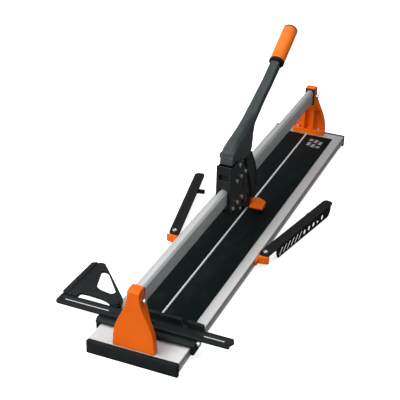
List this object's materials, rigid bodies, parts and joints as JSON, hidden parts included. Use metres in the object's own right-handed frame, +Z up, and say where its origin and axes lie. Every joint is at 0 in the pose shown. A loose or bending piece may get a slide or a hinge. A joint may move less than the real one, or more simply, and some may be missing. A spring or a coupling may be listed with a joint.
{
  "type": "tile cutter",
  "caption": "Manual rail tile cutter: long base with mats and breaking bar, rail on two supports, roller carriage with lever, wheel and breaker foot, fence with ruler, swing-out arms.",
  "frame": {"origin": "centre of the bottom face of the middle foot, on the surface that the cutter stands on, at mid length and mid width", "axes": "+X to the right seen from the fence end, +Y along the rail from the fence end to the far end, +Z up"},
  "size_m": [0.3776, 1.1, 0.4021],
  "materials": {
    "aluminium": "satin extrusion",
    "steel": "bright turned",
    "casting": "satin dark grey",
    "fence": "satin dark grey",
    "orange": "satin orange",
    "grip": "soft orange",
    "rubber": "matte",
    "plastic": "matte"
  },
  "bodies": {
    "frame": {"base_plate": "aluminium", "breaking_bar": "steel", "left_mat": "rubber", "right_mat": "rubber", "front_end_cap": "rubber", "rear_end_cap": "rubber", "middle_foot": "rubber", "front_support": "orange", "rear_support": "orange", "front_rail_liner": "plastic", "rear_rail_liner": "plastic", "rail": "aluminium", "front_foot_bolt_left": "steel", "front_foot_bolt_right": "steel", "rear_foot_bolt_left": "steel", "rear_foot_bolt_right": "steel", "front_clamp_bolt": "steel", "rear_clamp_bolt": "steel", "fence_bar": "fence", "fence_clamp": "steel", "ruler_lock": "plastic"},
    "ruler_slider": {"ruler": "fence", "mitre_screw": "plastic"},
    "mitre": {"mitre_square": "fence"},
    "carriage": {"carriage_body": "casting", "top_roller_axle_1": "steel", "top_roller_axle_2": "steel", "top_roller_axle_3": "steel", "lower_roller_axle_1": "steel", "lower_roller_axle_2": "steel", "handle_pivot_pin": "steel", "wheel_fork_pin": "steel"},
    "roller_top_1": {"top_roller_1": "steel"},
    "roller_top_2": {"top_roller_2": "steel"},
    "roller_top_3": {"top_roller_3": "steel"},
    "roller_low_1": {"lower_roller_1": "steel"},
    "roller_low_2": {"lower_roller_2": "steel"},
    "handle": {"handle_lever": "casting", "breaker_arm": "casting", "breaker_arm_screw": "steel", "breaker_foot": "orange", "breaker_foot_screw": "steel", "grip_collar": "plastic", "grip_sleeve": "grip", "grip_end_cap": "plastic"},
    "fork": {"wheel_fork": "casting", "wheel_axle": "steel"},
    "wheel": {"scoring_wheel": "steel"},
    "left_slider": {"left_arm_clip": "orange", "left_arm_pivot_screw": "steel"},
    "left_swing": {"left_arm": "plastic", "left_arm_peg": "plastic"},
    "right_slider": {"right_arm_clip": "orange", "right_arm_pivot_screw": "steel"},
    "right_swing": {"right_arm": "plastic", "right_arm_peg": "plastic"}
  },
  "joints": [
    {"name": "carriage_slide", "type": "slide", "parent": "frame", "child": "carriage", "axis": [0, 1, 0], "range_m": [-0.355, 0.375]},
    {"name": "top_roller_1_spin", "type": "hinge", "parent": "carriage", "child": "roller_top_1", "pos_m": [0, -0.063, 0.164], "axis": [1, 0, 0], "continuous": true},
    {"name": "top_roller_2_spin", "type": "hinge", "parent": "carriage", "child": "roller_top_2", "pos_m": [0, -0.037, 0.164], "axis": [1, 0, 0], "continuous": true},
    {"name": "top_roller_3_spin", "type": "hinge", "parent": "carriage", "child": "roller_top_3", "pos_m": [0, -0.01, 0.164], "axis": [1, 0, 0], "continuous": true},
    {"name": "lower_roller_1_spin", "type": "hinge", "parent": "carriage", "child": "roller_low_1", "pos_m": [0, -0.057, 0.1097], "axis": [1, 0, 0], "continuous": true},
    {"name": "lower_roller_2_spin", "type": "hinge", "parent": "carriage", "child": "roller_low_2", "pos_m": [0, -0.029, 0.1097], "axis": [1, 0, 0], "continuous": true},
    {"name": "handle_tilt", "type": "hinge", "parent": "carriage", "child": "handle", "pos_m": [0, -0.046, 0.196], "axis": [1, 0, 0], "range_deg": [0, 16]},
    {"name": "wheel_fork_swing", "type": "hinge", "parent": "carriage", "child": "fork", "pos_m": [0, -0.08, 0.104], "axis": [1, 0, 0], "range_deg": [-38.5, 0]},
    {"name": "scoring_wheel_spin", "type": "hinge", "parent": "fork", "child": "wheel", "pos_m": [0, -0.03, 0.08], "axis": [1, 0, 0], "continuous": true},
    {"name": "ruler_slide", "type": "slide", "parent": "frame", "child": "ruler_slider", "axis": [1, 0, 0], "range_m": [-0.015, 0.015]},
    {"name": "mitre_turn", "type": "hinge", "parent": "ruler_slider", "child": "mitre", "pos_m": [-0.084, -0.44, 0.044], "axis": [0, 0, -1], "range_deg": [0, 45]},
    {"name": "left_clip_slide", "type": "slide", "parent": "frame", "child": "left_slider", "axis": [0, 1, 0], "range_m": [-0.28, 0.35]},
    {"name": "left_arm_swing", "type": "hinge", "parent": "left_slider", "child": "left_swing", "pos_m": [-0.108, -0.107, 0.029], "axis": [0, 0, 1], "range_deg": [-7, 75]},
    {"name": "right_clip_slide", "type": "slide", "parent": "frame", "child": "right_slider", "axis": [0, 1, 0], "range_m": [-0.28, 0.35]},
    {"name": "right_arm_swing", "type": "hinge", "parent": "right_slider", "child": "right_swing", "pos_m": [0.108, -0.107, 0.029], "axis": [0, 0, -1], "range_deg": [-7, 75]}
  ],
  "couplings": [
    {"joint": "top_roller_1_spin", "follows": "carriage_slide", "rad_per_m": -103.09},
    {"joint": "top_roller_2_spin", "follows": "carriage_slide", "rad_per_m": -103.09},
    {"joint": "top_roller_3_spin", "follows": "carriage_slide", "rad_per_m": -103.09},
    {"joint": "lower_roller_1_spin", "follows": "carriage_slide", "rad_per_m": 125},
    {"joint": "lower_roller_2_spin", "follows": "carriage_slide", "rad_per_m": 125},
    {"joint": "wheel_fork_swing", "follows": "handle_tilt", "ratio": -2.4}
  ]
}
